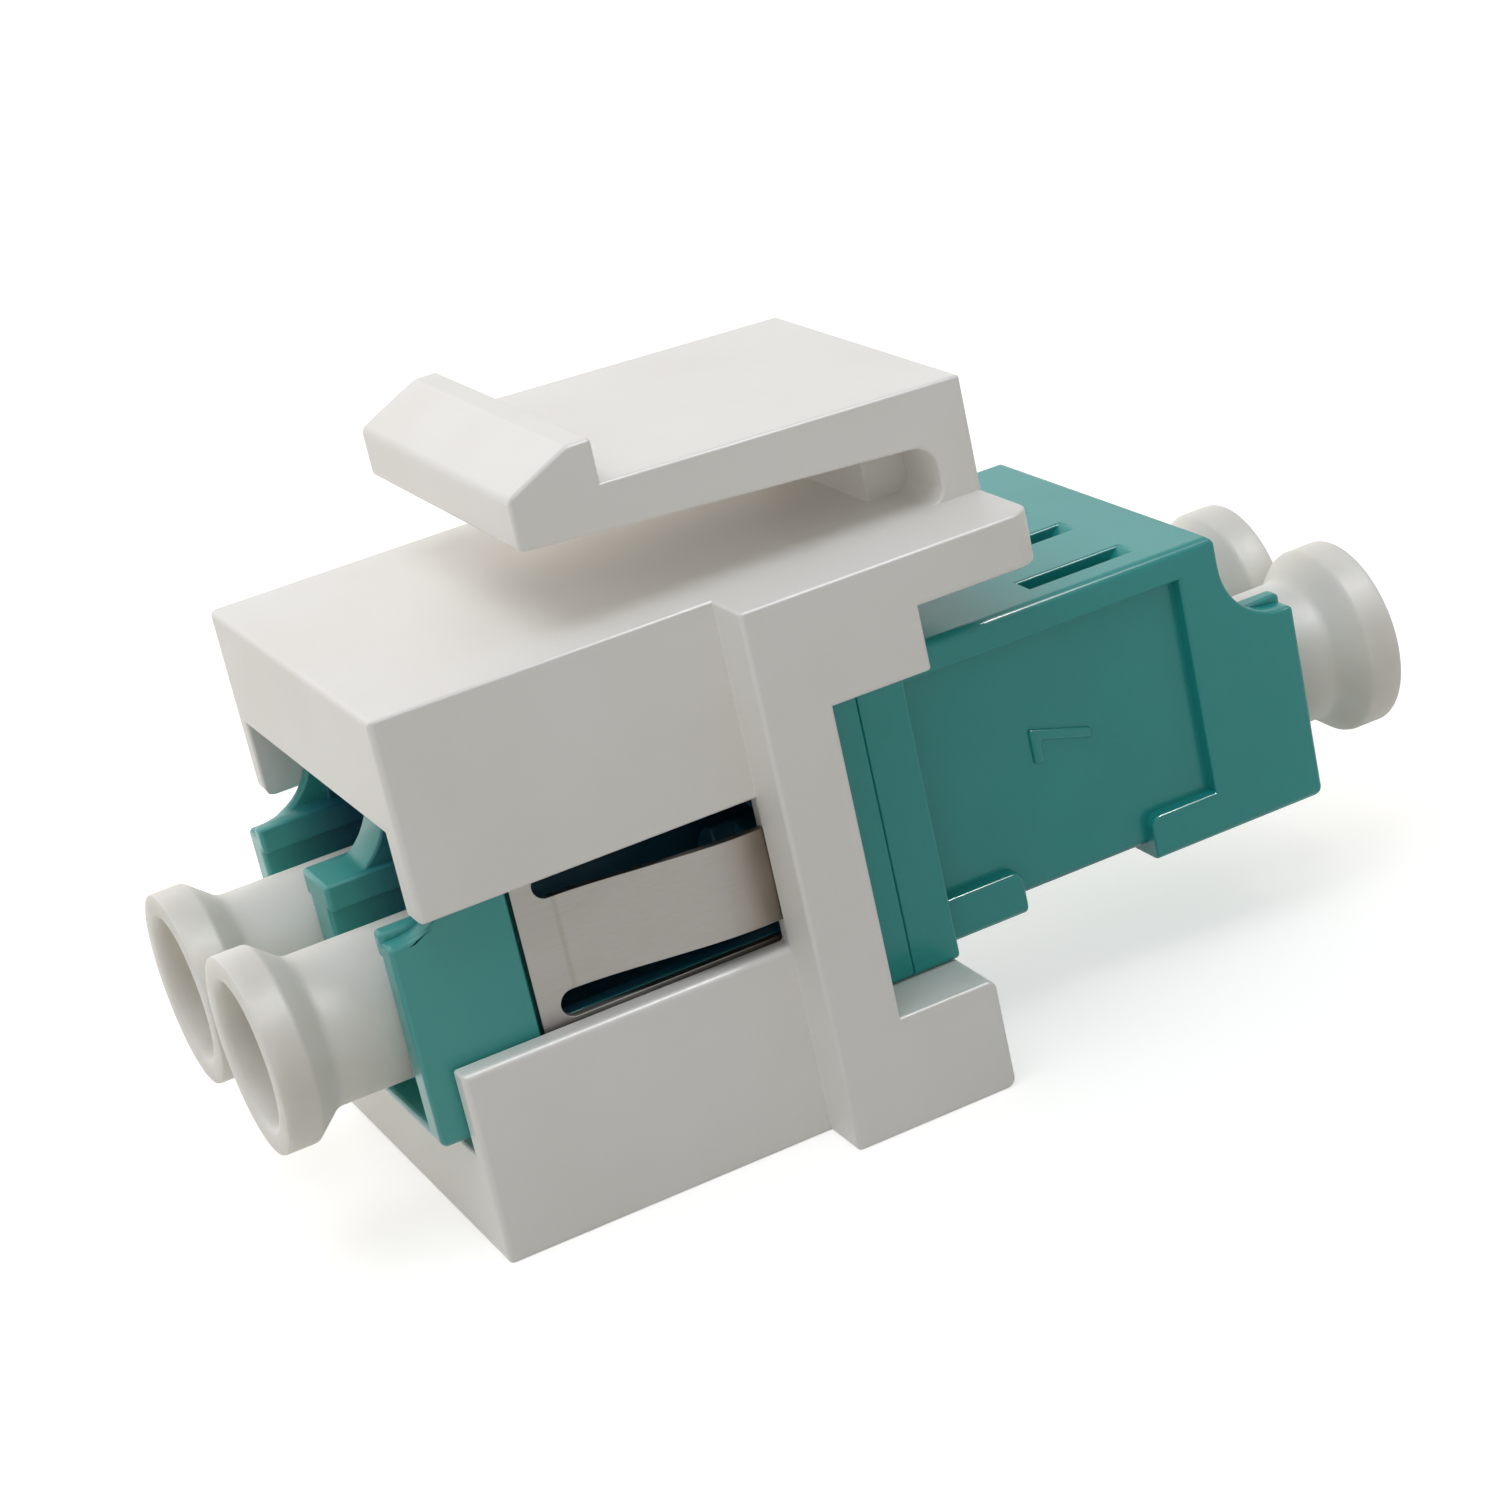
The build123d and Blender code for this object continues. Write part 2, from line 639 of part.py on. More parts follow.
# Dust plugs: a hollow neck in the port, a cone and a pull rim outside
neck_radius = port_height / 2 - plug_clearance
cone_inner_y = mouth - plug_neck_out
rim_inner_y = cone_inner_y - plug_cone
rim_outer_y = rim_inner_y - plug_rim
neck_end_y = mouth + plug_neck_in
for name, side, end, standing_out in (
    ("dust_plug_front_left", -1, 1, plug_front_out),
    ("dust_plug_front_right", 1, 1, plug_front_out),
    ("dust_plug_rear_left", -1, -1, 0),
    ("dust_plug_rear_right", 1, -1, 0),
):
    with BuildPart() as dust_plug:
        with BuildSketch(Plane.XY):
            with BuildLine():
                Polyline(
                    (0, end * (neck_end_y - plug_end_wall)),
                    (0, end * neck_end_y),
                    (neck_radius - plug_edge, end * neck_end_y),
                    (neck_radius, end * (neck_end_y - plug_edge)),
                    (neck_radius, end * cone_inner_y),
                    (plug_rim_radius - plug_edge, end * rim_inner_y),
                    (plug_rim_radius, end * (rim_inner_y - plug_edge)),
                    (plug_rim_radius, end * (rim_outer_y + plug_edge)),
                    (plug_rim_radius - plug_edge, end * rim_outer_y),
                    (plug_mouth_radius + plug_lip, end * rim_outer_y),
                    (plug_mouth_radius, end * (rim_outer_y + plug_lip)),
                    (plug_bore_radius, end * (rim_outer_y + plug_lip + plug_mouth_depth)),
                    (plug_bore_radius, end * (neck_end_y - plug_end_wall)),
                    close=True,
                )
            make_face()
        revolve(axis=Axis.Y)
    placed_plug = dust_plug.part.moved(Location((side * port_x, -end * standing_out, port_centre_z)))
    placed_plug.label = name
    export_step(placed_plug, "parts/" + name + ".step")
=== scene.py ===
import bpy
import bmesh
import json
import math
from contextlib import contextmanager
from mathutils import Matrix, Vector


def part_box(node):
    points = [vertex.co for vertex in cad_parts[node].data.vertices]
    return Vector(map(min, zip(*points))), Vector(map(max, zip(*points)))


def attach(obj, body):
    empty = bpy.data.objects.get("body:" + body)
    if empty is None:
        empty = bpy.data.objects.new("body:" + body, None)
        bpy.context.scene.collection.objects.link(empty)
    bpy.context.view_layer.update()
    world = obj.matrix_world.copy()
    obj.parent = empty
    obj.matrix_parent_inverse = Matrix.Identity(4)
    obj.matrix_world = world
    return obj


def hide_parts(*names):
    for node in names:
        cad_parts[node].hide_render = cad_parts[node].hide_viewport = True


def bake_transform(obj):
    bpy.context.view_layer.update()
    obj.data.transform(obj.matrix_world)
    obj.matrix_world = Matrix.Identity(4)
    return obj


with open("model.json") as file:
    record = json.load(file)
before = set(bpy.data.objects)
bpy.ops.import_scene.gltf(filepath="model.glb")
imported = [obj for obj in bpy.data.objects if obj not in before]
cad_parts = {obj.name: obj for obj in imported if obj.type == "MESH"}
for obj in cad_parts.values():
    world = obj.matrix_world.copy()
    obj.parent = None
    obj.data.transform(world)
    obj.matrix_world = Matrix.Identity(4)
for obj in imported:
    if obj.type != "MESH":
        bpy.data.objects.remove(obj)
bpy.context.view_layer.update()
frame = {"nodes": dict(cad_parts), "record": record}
mm = 0.001
print("frame loaded")


# Colours are written as sRGB hex and turned to linear here
def colour(hexValue):
    channels = [int(hexValue[i:i + 2], 16) / 255 for i in (1, 3, 5)]
    return [c / 12.92 if c <= 0.04045 else ((c + 0.055) / 1.055) ** 2.4 for c in channels] + [1]


def addNode(material, kind, links={}, **settings):
    node = material.node_tree.nodes.new(kind)
    for name, value in settings.items():
        setattr(node, name, value)
    for socket, value in links.items():
        if isinstance(value, bpy.types.NodeSocket):
            material.node_tree.links.new(value, node.inputs[socket])
        else:
            node.inputs[socket].default_value = value
    return node


def newMaterial(name):
    material = bpy.data.materials.new(name)
    material.use_nodes = True
    return material, material.node_tree.nodes["Principled BSDF"]


def connect(material, output, socket):
    material.node_tree.links.new(output, socket)


# A noise whose features are sizeMm across, read from the object's own coordinates
def grain(material, sizeMm, detail=2.0, stretch=(1, 1, 1)):
    place = addNode(material, "ShaderNodeTexCoord")
    turned = addNode(material, "ShaderNodeMapping", {"Vector": place.outputs["Object"], "Scale": stretch})
    noise = addNode(material, "ShaderNodeTexNoise",
                    {"Vector": turned.outputs["Vector"], "Scale": 1 / (sizeMm * mm), "Detail": detail})
    return noise.outputs["Fac"]


# Most of a noise's values lie between these
noiseSpan = {"colours": (0.35, 0.65), "values": (0.3, 0.7)}


# Two colours mixed by a noise
def mottle(material, noise, dark, light):
    ramp = addNode(material, "ShaderNodeValToRGB", {"Fac": noise})
    for element, place, shade in zip(ramp.color_ramp.elements, noiseSpan["colours"], (dark, light)):
        element.position = place
        element.color = colour(shade)
    return ramp.outputs["Color"]


# A value spread between two numbers by a noise
def spread(material, noise, low, high):
    start, end = noiseSpan["values"]
    node = addNode(material, "ShaderNodeMapRange",
                   {"Value": noise, "From Min": start, "From Max": end, "To Min": low, "To Max": high})
    return node.outputs["Result"]


# The Mix node's two colours are its inputs 6 and 7, and their mix is its output 2
def mix(material, share, first, second):
    node = addNode(material, "ShaderNodeMix", {"Factor": share, 6: first, 7: second}, data_type="RGBA")
    return node.outputs[2]


def reckon(material, operation, *values, clamped=False):
    node = addNode(material, "ShaderNodeMath", dict(enumerate(values)), operation=operation, use_clamp=clamped)
    return node.outputs["Value"]


# One within the reach of the middle along an axis, falling to nothing over the soft length
def within(material, axisValue, middleMm, reachMm, softMm):
    away = reckon(material, "ABSOLUTE", reckon(material, "SUBTRACT", axisValue, middleMm * mm))
    inside = addNode(material, "ShaderNodeMapRange", {
        "Value": away, "From Min": reachMm * mm, "From Max": (reachMm + softMm) * mm, "To Min": 1, "To Max": 0})
    return inside.outputs["Result"]


# The object's own coordinates along each axis
def ownPlaces(material):
    place = addNode(material, "ShaderNodeTexCoord")
    return addNode(material, "ShaderNodeSeparateXYZ", {"Vector": place.outputs["Object"]}).outputs


def bump(material, height, depthMm, strength):
    node = addNode(material, "ShaderNodeBump", {"Height": height, "Distance": depthMm * mm, "Strength": strength})
    return node.outputs["Normal"]


# ABS, injection moulded in a satin tool: soft broad highlights and a very fine skin
whiteAbs = {
    "dark": "#ece9e3",
    "light": "#f0eee9",
    "mottleSize": 7,
    "skinSize": 0.12,
    "skinDepth": 0.004,
    "skinStrength": 0.4,
    "roughness": (0.4, 0.5),
    "ior": 1.53,
}


def makeMouldedAbs():
    material, shader = newMaterial("mouldedAbs")
    patches = grain(material, whiteAbs["mottleSize"])
    connect(material, mottle(material, patches, whiteAbs["dark"], whiteAbs["light"]), shader.inputs["Base Color"])
    skin = grain(material, whiteAbs["skinSize"])
    connect(material, spread(material, skin, *whiteAbs["roughness"]), shader.inputs["Roughness"])
    connect(material, bump(material, skin, whiteAbs["skinDepth"], whiteAbs["skinStrength"]), shader.inputs["Normal"])
    shader.inputs["IOR"].default_value = whiteAbs["ior"]
    return material


# PBT coloured right through, moulded in a polished tool: deep teal with crisp lines of light on its edges,
# with painted shade, darker and bluer, inside the ports, and painted light, paler, towards the front half's panel end
aquaPbt = {
    "dark": "#1f9591",
    "light": "#239a96",
    "paintedFrontLight": "#439f9a",          # painted light: paler towards the panel end of the front half, where more light falls
    "paintedFrontLightEnd": -8.5,
    "paintedFrontLightStart": -13.5,
    "paintedCavityShade": "#27667e",
    "paintedShadeHeight": 8.4,
    "paintedShadeReach": (5.96, 12.0, 4.1),   # half of its width, length and height
    "paintedShadeSoft": (0.03, 2.2, 0.25),
    "dividerReach": 0.74,       # the wall between the ports is left out of the painted shade
    "dividerSoft": 0.04,
    "mottleSize": 5,
    "flowSize": 1.4,
    "flowDetail": 3,
    "roughness": (0.21, 0.265),
    "ior": 1.55,
    "specular": 0.35,
}


def makeMouldedPbt():
    material, shader = newMaterial("mouldedPbt")
    plain = mottle(material, grain(material, aquaPbt["mottleSize"]), aquaPbt["dark"], aquaPbt["light"])
    along = ownPlaces(material)
    # painted light: the front half is mixed paler towards its panel end, standing in for the light that falls there
    paintedFrontLightShare = addNode(material, "ShaderNodeMapRange", {
        "Value": along["Y"], "From Min": aquaPbt["paintedFrontLightStart"] * mm, "From Max": aquaPbt["paintedFrontLightEnd"] * mm,
        "To Min": 1, "To Max": 0})
    colourWithPaintedLight = mix(material, paintedFrontLightShare.outputs["Result"], plain, colour(aquaPbt["paintedFrontLight"]))
    # painted shade: the inside of the ports is mixed darker and bluer, where shade falls
    middles = (0, 0, aquaPbt["paintedShadeHeight"])
    across, lengthways, upright = (
        within(material, along[axis], *place)
        for axis, place in zip("XYZ", zip(middles, aquaPbt["paintedShadeReach"], aquaPbt["paintedShadeSoft"])))
    inside = reckon(material, "MULTIPLY", reckon(material, "MULTIPLY", across, lengthways), upright)
    divider = within(material, along["X"], 0, aquaPbt["dividerReach"], aquaPbt["dividerSoft"])
    paintedCavityShade = reckon(material, "SUBTRACT", inside, divider, clamped=True)
    connect(material, mix(material, paintedCavityShade, colourWithPaintedLight, colour(aquaPbt["paintedCavityShade"])), shader.inputs["Base Color"])
    flow = grain(material, aquaPbt["flowSize"], aquaPbt["flowDetail"])
    connect(material, spread(material, flow, *aquaPbt["roughness"]), shader.inputs["Roughness"])
    shader.inputs["IOR"].default_value = aquaPbt["ior"]
    shader.inputs["Specular IOR Level"].default_value = aquaPbt["specular"]
    return material


# Stainless spring sheet, cold rolled: dull, with faint lines along the strip; painted shade, darker and browner,
# towards each tongue's free end and in a thin line where it bends out
rolledSteel = {
    "dark": "#96938d",
    "light": "#999693",
    "paintedCurlShade": "#897f73",
    "paintedFoldShade": "#7d776a",
    "paintedFoldShadeShare": 0.3,
    "foldAlong": (-10.0, 0.02, 0.1),    # middle, reach and soft length of the line where each tongue is folded out
    "foldUpright": (8.36, 1.45, 0.05),
    "paintedCurlShadeStart": -5.4,
    "paintedCurlShadeEnd": -3.9,
    "lineSize": 0.09,
    "lineDetail": 2,
    "lineStretch": (1, 0.03, 1),
    "lineDepth": 0.0003,
    "lineStrength": 0.2,
    "roughness": (0.4, 0.44),
}


def makeRolledSteel():
    material, shader = newMaterial("rolledStainless")
    lines = grain(material, rolledSteel["lineSize"], rolledSteel["lineDetail"], rolledSteel["lineStretch"])
    sheetColour = mottle(material, lines, rolledSteel["dark"], rolledSteel["light"])
    along = ownPlaces(material)
    # painted shade: darker and browner towards the free end of each tongue
    tint = addNode(material, "ShaderNodeMapRange", {
        "Value": along["Y"], "From Min": rolledSteel["paintedCurlShadeStart"] * mm, "From Max": rolledSteel["paintedCurlShadeEnd"] * mm})
    # painted shade: a faint dark line along the line where each tongue bends out
    onFold = reckon(material, "MULTIPLY", within(material, along["Y"], *rolledSteel["foldAlong"]),
                    within(material, along["Z"], *rolledSteel["foldUpright"]))
    faint = reckon(material, "MULTIPLY", onFold, rolledSteel["paintedFoldShadeShare"])
    withPaintedCurlShade = mix(material, tint.outputs["Result"], sheetColour, colour(rolledSteel["paintedCurlShade"]))
    connect(material, mix(material, faint, withPaintedCurlShade, colour(rolledSteel["paintedFoldShade"])), shader.inputs["Base Color"])
    connect(material, spread(material, lines, *rolledSteel["roughness"]), shader.inputs["Roughness"])
    connect(material, bump(material, lines, rolledSteel["lineDepth"], rolledSteel["lineStrength"]),
            shader.inputs["Normal"])
    shader.inputs["Metallic"].default_value = 1
    return material


# Zirconia, ground and polished: a bright ceramic white with a hard gloss
zirconia = {
    "dark": "#e6e5e0",
    "light": "#efeeea",
    "grindSize": 0.08,
    "grindDetail": 2,
    "grindStretch": (1, 0.1, 1),
    "grindDepth": 0.001,
    "grindStrength": 0.3,
    "roughness": (0.12, 0.2),
    "ior": 2.1,
}


def makeGroundZirconia():
    material, shader = newMaterial("groundZirconia")
    marks = grain(material, zirconia["grindSize"], zirconia["grindDetail"], zirconia["grindStretch"])
    connect(material, mottle(material, marks, zirconia["dark"], zirconia["light"]), shader.inputs["Base Color"])
    connect(material, spread(material, marks, *zirconia["roughness"]), shader.inputs["Roughness"])
    connect(material, bump(material, marks, zirconia["grindDepth"], zirconia["grindStrength"]),
            shader.inputs["Normal"])
    shader.inputs["IOR"].default_value = zirconia["ior"]
    return material


# Low density polyethylene, moulded soft: milky, so light gets through its thin walls
softPe = {
    "dark": "#e0ddd5",
    "light": "#e7e5df",
    "mottleSize": 2.5,
    "skinSize": 0.25,
    "skinDepth": 0.006,
    "skinStrength": 0.4,
    "roughness": (0.5, 0.6),
    "ior": 1.51,
    "milkiness": 0.7,
    "lightReach": 0.7,
    "reachByColour": (1.0, 0.92, 0.8),
}


def makeSoftPolyethylene():
    material, shader = newMaterial("softPolyethylene")
    patches = grain(material, softPe["mottleSize"])
    connect(material, mottle(material, patches, softPe["dark"], softPe["light"]), shader.inputs["Base Color"])
    skin = grain(material, softPe["skinSize"])
    connect(material, spread(material, skin, *softPe["roughness"]), shader.inputs["Roughness"])
    connect(material, bump(material, skin, softPe["skinDepth"], softPe["skinStrength"]), shader.inputs["Normal"])
    shader.inputs["IOR"].default_value = softPe["ior"]
    shader.inputs["Subsurface Weight"].default_value = softPe["milkiness"]
    shader.inputs["Subsurface Radius"].default_value = softPe["reachByColour"]
    shader.inputs["Subsurface Scale"].default_value = softPe["lightReach"] * mm
    return material


finishes = {
    "carrier": makeMouldedAbs(),
    "housing": makeMouldedPbt(),
    "clip": makeRolledSteel(),
    "sleeve": makeGroundZirconia(),
    "plug": makeSoftPolyethylene(),
}
slotOf = {part["node"]: part["material_slot"] for part in frame["record"]["subparts"]}
for nodeName, node in frame["nodes"].items():
    node.data.materials.clear()
    node.data.materials.append(finishes[slotOf[nodeName]])
print("finishes made")


def pickOnly(piece):
    bpy.ops.object.select_all(action="DESELECT")
    piece.select_set(True)
    bpy.context.view_layer.objects.active = piece


# The whole mesh of a piece, open for editing
@contextmanager
def editing(piece):
    pickOnly(piece)
    bpy.ops.object.mode_set(mode="EDIT")
    bpy.ops.mesh.select_all(action="SELECT")
    yield
    bpy.ops.object.mode_set(mode="OBJECT")


# How near points have to be to become one, in mm, and how flat faces have to lie to become one, in degrees
cleaning = {"merge": 0.002, "flat": 0.4, "mergeAfterCut": 0.004, "thinAfterCut": 0.002, "flatAfterCut": 0.6}


# A CAD node's mesh is loose triangles, so a copy is merged and its flat faces are joined
def copyOfNode(nodeName, pieceName):
    piece = bpy.data.objects.new(pieceName, frame["nodes"][nodeName].data.copy())
    bpy.context.scene.collection.objects.link(piece)
    with editing(piece):
        bpy.ops.mesh.remove_doubles(threshold=cleaning["merge"] * mm)
        bpy.ops.mesh.dissolve_limited(angle_limit=math.radians(cleaning["flat"]))
    return piece


# Rounds the sharp outer corners, as the tool leaves them.
# widthAt gives the rounding at an edge's middle in mm where it differs, or None
def roundEdges(piece, widthMm, segments, sharperThan=32, widthAt=None):
    shape = bmesh.new()
    shape.from_mesh(piece.data)
    weight = shape.edges.layers.float.new("bevel_weight_edge")
    widths = {}
    for edge in shape.edges:
        if edge.calc_face_angle_signed(0) > math.radians(sharperThan):
            middle = (edge.verts[0].co + edge.verts[1].co) / 2 / mm
            chosen = widthAt(middle) if widthAt else None
            widths[edge] = widthMm if chosen is None else chosen
    widest = max(widths.values())
    for edge, width in widths.items():
        edge[weight] = width / widest
    shape.to_mesh(piece.data)
    shape.free()
    bevel = piece.modifiers.new("roundedEdges", "BEVEL")
    bevel.width = widest * mm
    bevel.segments = segments
    bevel.limit_method = "WEIGHT"
    bevel.use_clamp_overlap = False
    pickOnly(piece)
    bpy.ops.object.modifier_apply(modifier="roundedEdges")


shading = {"sharpFrom": 38, "flatWeight": 90}


# Large flat faces keep their own direction, so that only the rounded edges shade softly
def shadeFlatFaces(piece):
    shape = bmesh.new()
    shape.from_mesh(piece.data)
    for face in shape.faces:
        face.smooth = True
    for edge in shape.edges:
        if edge.calc_face_angle(0) > math.radians(shading["sharpFrom"]):
            edge.smooth = False
    shape.to_mesh(piece.data)
    shape.free()
    pickOnly(piece)
    weighted = piece.modifiers.new("flatFaces", "WEIGHTED_NORMAL")
    weighted.keep_sharp = True
    weighted.weight = shading["flatWeight"]
    bpy.ops.object.modifier_apply(modifier="flatFaces")


def dress(piece, slotName):
    shadeFlatFaces(piece)
    piece.data.materials.clear()
    piece.data.materials.append(finishes[slotName])


def standFor(piece, body, slotName, *nodeNames):
    dress(piece, slotName)
    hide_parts(*nodeNames)
    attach(piece, body)


# The camera's place was solved from the photograph's straight edges and the known sizes
camera = {
    "place": (94.48, -37.19, 47.64),
    "azimuth": 68.93,
    "elevation": 20.77,
    "roll": 12.82,
    "focal": 3555,
    "pictureWidth": 1500,
    "sensor": 36,
    "nearest": 1,
    "furthest": 10000,
}


def makeCamera():
    lens = bpy.data.cameras.new("camera")
    lens.sensor_width = camera["sensor"]
    lens.sensor_fit = "HORIZONTAL"
    lens.lens = camera["focal"] / camera["pictureWidth"] * camera["sensor"]
    lens.clip_start = camera["nearest"] * mm
    lens.clip_end = camera["furthest"] * mm
    body = bpy.data.objects.new("camera", lens)
    bpy.context.scene.collection.objects.link(body)
    azimuth, elevation = math.radians(camera["azimuth"]), math.radians(camera["elevation"])
    forward = Vector((-math.sin(azimuth) * math.cos(elevation), math.cos(azimuth) * math.cos(elevation),
                      -math.sin(elevation)))
    right = forward.cross(Vector((0, 0, 1))).normalized()
    down = forward.cross(right)
    roll = math.radians(camera["roll"])
    tiltedRight = math.cos(roll) * right + math.sin(roll) * down
    tiltedUp = tiltedRight.cross(forward)
    turn = Matrix((tiltedRight, tiltedUp, -forward)).transposed()
    body.matrix_world = Matrix.Translation(Vector(camera["place"]) * mm) @ turn.to_4x4()
    bpy.context.scene.camera = body


makeCamera()
print("camera placed")


# Takes a tool's shape out of a piece, or adds it, and removes the tool
def combine(piece, tool, operation):
    meeting = piece.modifiers.new("meeting", "BOOLEAN")
    meeting.operation = operation
    meeting.solver = "EXACT"
    meeting.object = tool
    pickOnly(piece)
    bpy.ops.object.modifier_apply(modifier="meeting")
    bpy.data.objects.remove(tool)
    with editing(piece):
        bpy.ops.mesh.remove_doubles(threshold=cleaning["mergeAfterCut"] * mm)
        bpy.ops.mesh.dissolve_degenerate(threshold=cleaning["thinAfterCut"] * mm)
        bpy.ops.mesh.dissolve_limited(angle_limit=math.radians(cleaning["flatAfterCut"]))
        bpy.ops.mesh.delete_loose()


# The two housing halves, with their edges rounded but for the weld seam between them
housing = {
    "edge": 0.1,
    "segments": 3,
    "seam": 0.15,
    "mouthEdge": 0.15,
    "mouthFrom": 14.0,
    "mouth": -14.95,
    "portMiddle": 3.125,
    "portHalf": 2.32,
    "floorBack": 0.7,       # in the front half the ports' floor starts this far behind the mouth
    "skirtTop": 4.2,        # and a low skirt stands in front of it
    "floorClear": 5.3,      # a height above the floor, within the open port
}


def setFloorBack(piece):
    low, high = housing["skirtTop"], housing["floorClear"]
    for side in (-1, 1):
        middle = Vector((side * housing["portMiddle"], housing["mouth"], (low + high) / 2))
        bpy.ops.object.select_all(action="DESELECT")
        bpy.ops.mesh.primitive_cube_add(size=2, location=middle * mm)
        notch = bpy.context.object
        notch.scale = Vector((housing["portHalf"], housing["floorBack"], (high - low) / 2)) * mm
        bpy.ops.object.transform_apply(location=True, rotation=True, scale=True)
        combine(piece, notch, "DIFFERENCE")


def housingWidth(middle):
    if abs(middle.y) < housing["seam"]:
        return 0
    return housing["mouthEdge"] if abs(middle.y) > housing["mouthFrom"] else None


for half in ("adapter_front_half", "adapter_rear_half"):
    piece = copyOfNode(half, half + "_moulding")
    if half == "adapter_front_half":
        setFloorBack(piece)
    roundEdges(piece, housing["edge"], housing["segments"], widthAt=housingWidth)
    standFor(piece, "root", "housing", half)
print("housing halves rounded")

clip = {"edge": 0.04, "segments": 2, "creaseAt": -10.03, "creasePlay": 0.02, "creaseSide": 6.3}
clipSheet = copyOfNode("spring_clip", "clip_sheet")
roundEdges(clipSheet, clip["edge"], clip["segments"])
for edge in clipSheet.data.edges:
    ends = [clipSheet.data.vertices[i].co / mm for i in edge.vertices]
    if all(abs(end.y - clip["creaseAt"]) < clip["creasePlay"] and abs(end.x) > clip["creaseSide"] for end in ends):
        edge.use_edge_sharp = True  # the tongue is folded out along this line
standFor(clipSheet, "root", "clip", "spring_clip")
print("clip rounded")

# The carrier and its latch are one moulding, joined here and then divided level just above the roof;
# the latch is then cut across into thin slices near its post
moulding = {
    "edge": 0.1,
    "segments": 4,
    "front": -14.11,
    "side": 7.25,
    "inside": 6.5,
    "top": 16.77,
    "cadEdge": 0.152,      # the source's own small rounding at the front, taken off before the fuller one
    "sillEdge": 0.2,
    "roofEdge": 0.18,
    "uprightEdge": 0.2,
    "farCornerEdge": 0.45,
    "tip": -8.4,
    "tipEdge": 0.2,
    "rampFrom": -5.8,
    "rampEdge": 0.12,
    "armSide": 6.05,
    "armUnder": 18.5,
    "tipMiddle": 1,
    "lipBehind": 0.66,     # the far lip lies within these lengths of the front, the window's top, the roof's
    "lipUnder": 0.3,       # top and the far wall's inner face, and is pressed into that wall
    "lipBelowTop": 1,
    "lipThick": 0.4,
    "lipLeft": 0.01,
    "sillHeight": 6.0,
    "windowTop": 10.7,
    "seamFrom": 2.0,       # beyond this in y are only the points of the arm's seam
    "seamReach": 0.05,
    "slope": 2.0,
    "divideHeight": 17.5,
    "bendStart": 3.0,
    "bendEnd": -2.0,
    "bendStep": 0.45,
    "play": 0.03,
    "widePlay": 0.1,
    "cutPlay": 0.0005,
}


def near(value, place, play=moulding["play"]):
    return abs(value - place) < play


# The front of the copy gets its sharp corners back, and the far wall's lip goes
def sharpenFront(piece):
    front, side, top, reach = (moulding[name] for name in ("front", "side", "top", "cadEdge"))
    farWall = -moulding["inside"]
    for point in piece.data.vertices:
        place = point.co / mm
        if place.y - front < reach:
            if top - place.z < reach:
                place.y, place.z = front, top
            if place.z < reach:
                place.y, place.z = front, 0
            if side - abs(place.x) < reach:
                place.x, place.y = math.copysign(side, place.x), front
        atLipHeight = moulding["windowTop"] - moulding["lipUnder"] < place.z < top - moulding["lipBelowTop"]
        isLip = atLipHeight and place.y < front + moulding["lipBehind"]
        if isLip and farWall < place.x < farWall + moulding["lipThick"]:
            place.x = farWall + moulding["lipLeft"]
        point.co = place * mm
    with editing(piece):
        bpy.ops.mesh.remove_doubles(threshold=cleaning["mergeAfterCut"] * mm)
        bpy.ops.mesh.dissolve_degenerate(threshold=cleaning["thinAfterCut"] * mm)
        bpy.ops.mesh.dissolve_limited(angle_limit=math.radians(cleaning["flat"]))


# How far each edge of the carrier is rounded: the lower walls' tops and the roof's front edge most
def carrierEdge(middle):
    atFront = near(middle.y, moulding["front"])
    atSide = near(abs(middle.x), moulding["side"])
    if atSide and near(middle.z, moulding["sillHeight"], moulding["widePlay"]):
        return moulding["sillEdge"]
    if atFront and near(middle.z, moulding["top"]):
        return moulding["roofEdge"]
    if atFront and atSide:
        return moulding["uprightEdge"]
    if atFront and middle.x < -moulding["inside"] and near(middle.z, moulding["windowTop"], moulding["widePlay"]):
        return moulding["farCornerEdge"]
    if middle.z > moulding["armUnder"]:
        if near(middle.y, moulding["tip"]) and near(middle.x, 0, moulding["tipMiddle"]):
            return moulding["tipEdge"]
        if middle.y < moulding["rampFrom"] and near(abs(middle.x), moulding["armSide"]):
            return moulding["rampEdge"]
    return None


def joinLatch():
    carrier = copyOfNode("keystone_carrier", "carrier_moulding")
    sharpenFront(carrier)
    arm = copyOfNode("latch_arm", "arm_copy")
    reach = moulding["seamReach"] * mm
    for point in arm.data.vertices:
        if point.co.y > moulding["seamFrom"] * mm:
            point.co += Vector((0, reach, -reach * math.tan(math.radians(moulding["slope"]))))
    combine(carrier, arm, "UNION")
    roundEdges(carrier, moulding["edge"], moulding["segments"], widthAt=carrierEdge)
    return carrier


def cutAcross(piece, place, normal, **sides):
    with editing(piece):
        bpy.ops.mesh.bisect(plane_co=Vector(place) * mm, plane_no=normal, threshold=moulding["cutPlay"] * mm, **sides)


carrierPiece = joinLatch()
latchPiece = bpy.data.objects.new("latch_moulding", carrierPiece.data.copy())
bpy.context.scene.collection.objects.link(latchPiece)
level = (0, 0, moulding["divideHeight"])
cutAcross(carrierPiece, level, (0, 0, 1), use_fill=True, clear_outer=True)
cutAcross(latchPiece, level, (0, 0, 1), use_fill=True, clear_inner=True)
with editing(latchPiece):
    bpy.ops.mesh.delete_loose()
bendPlace = moulding["bendStart"] - moulding["bendStep"] / 2
while bendPlace > moulding["bendEnd"]:
    cutAcross(latchPiece, (0, bendPlace, 0), (0, 1, 0))
    bendPlace -= moulding["bendStep"]
standFor(carrierPiece, "root", "carrier", "keystone_carrier")
dress(latchPiece, "carrier")
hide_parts("keystone_carrier", "latch_arm")
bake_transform(latchPiece)
print("carrier and latch joined")

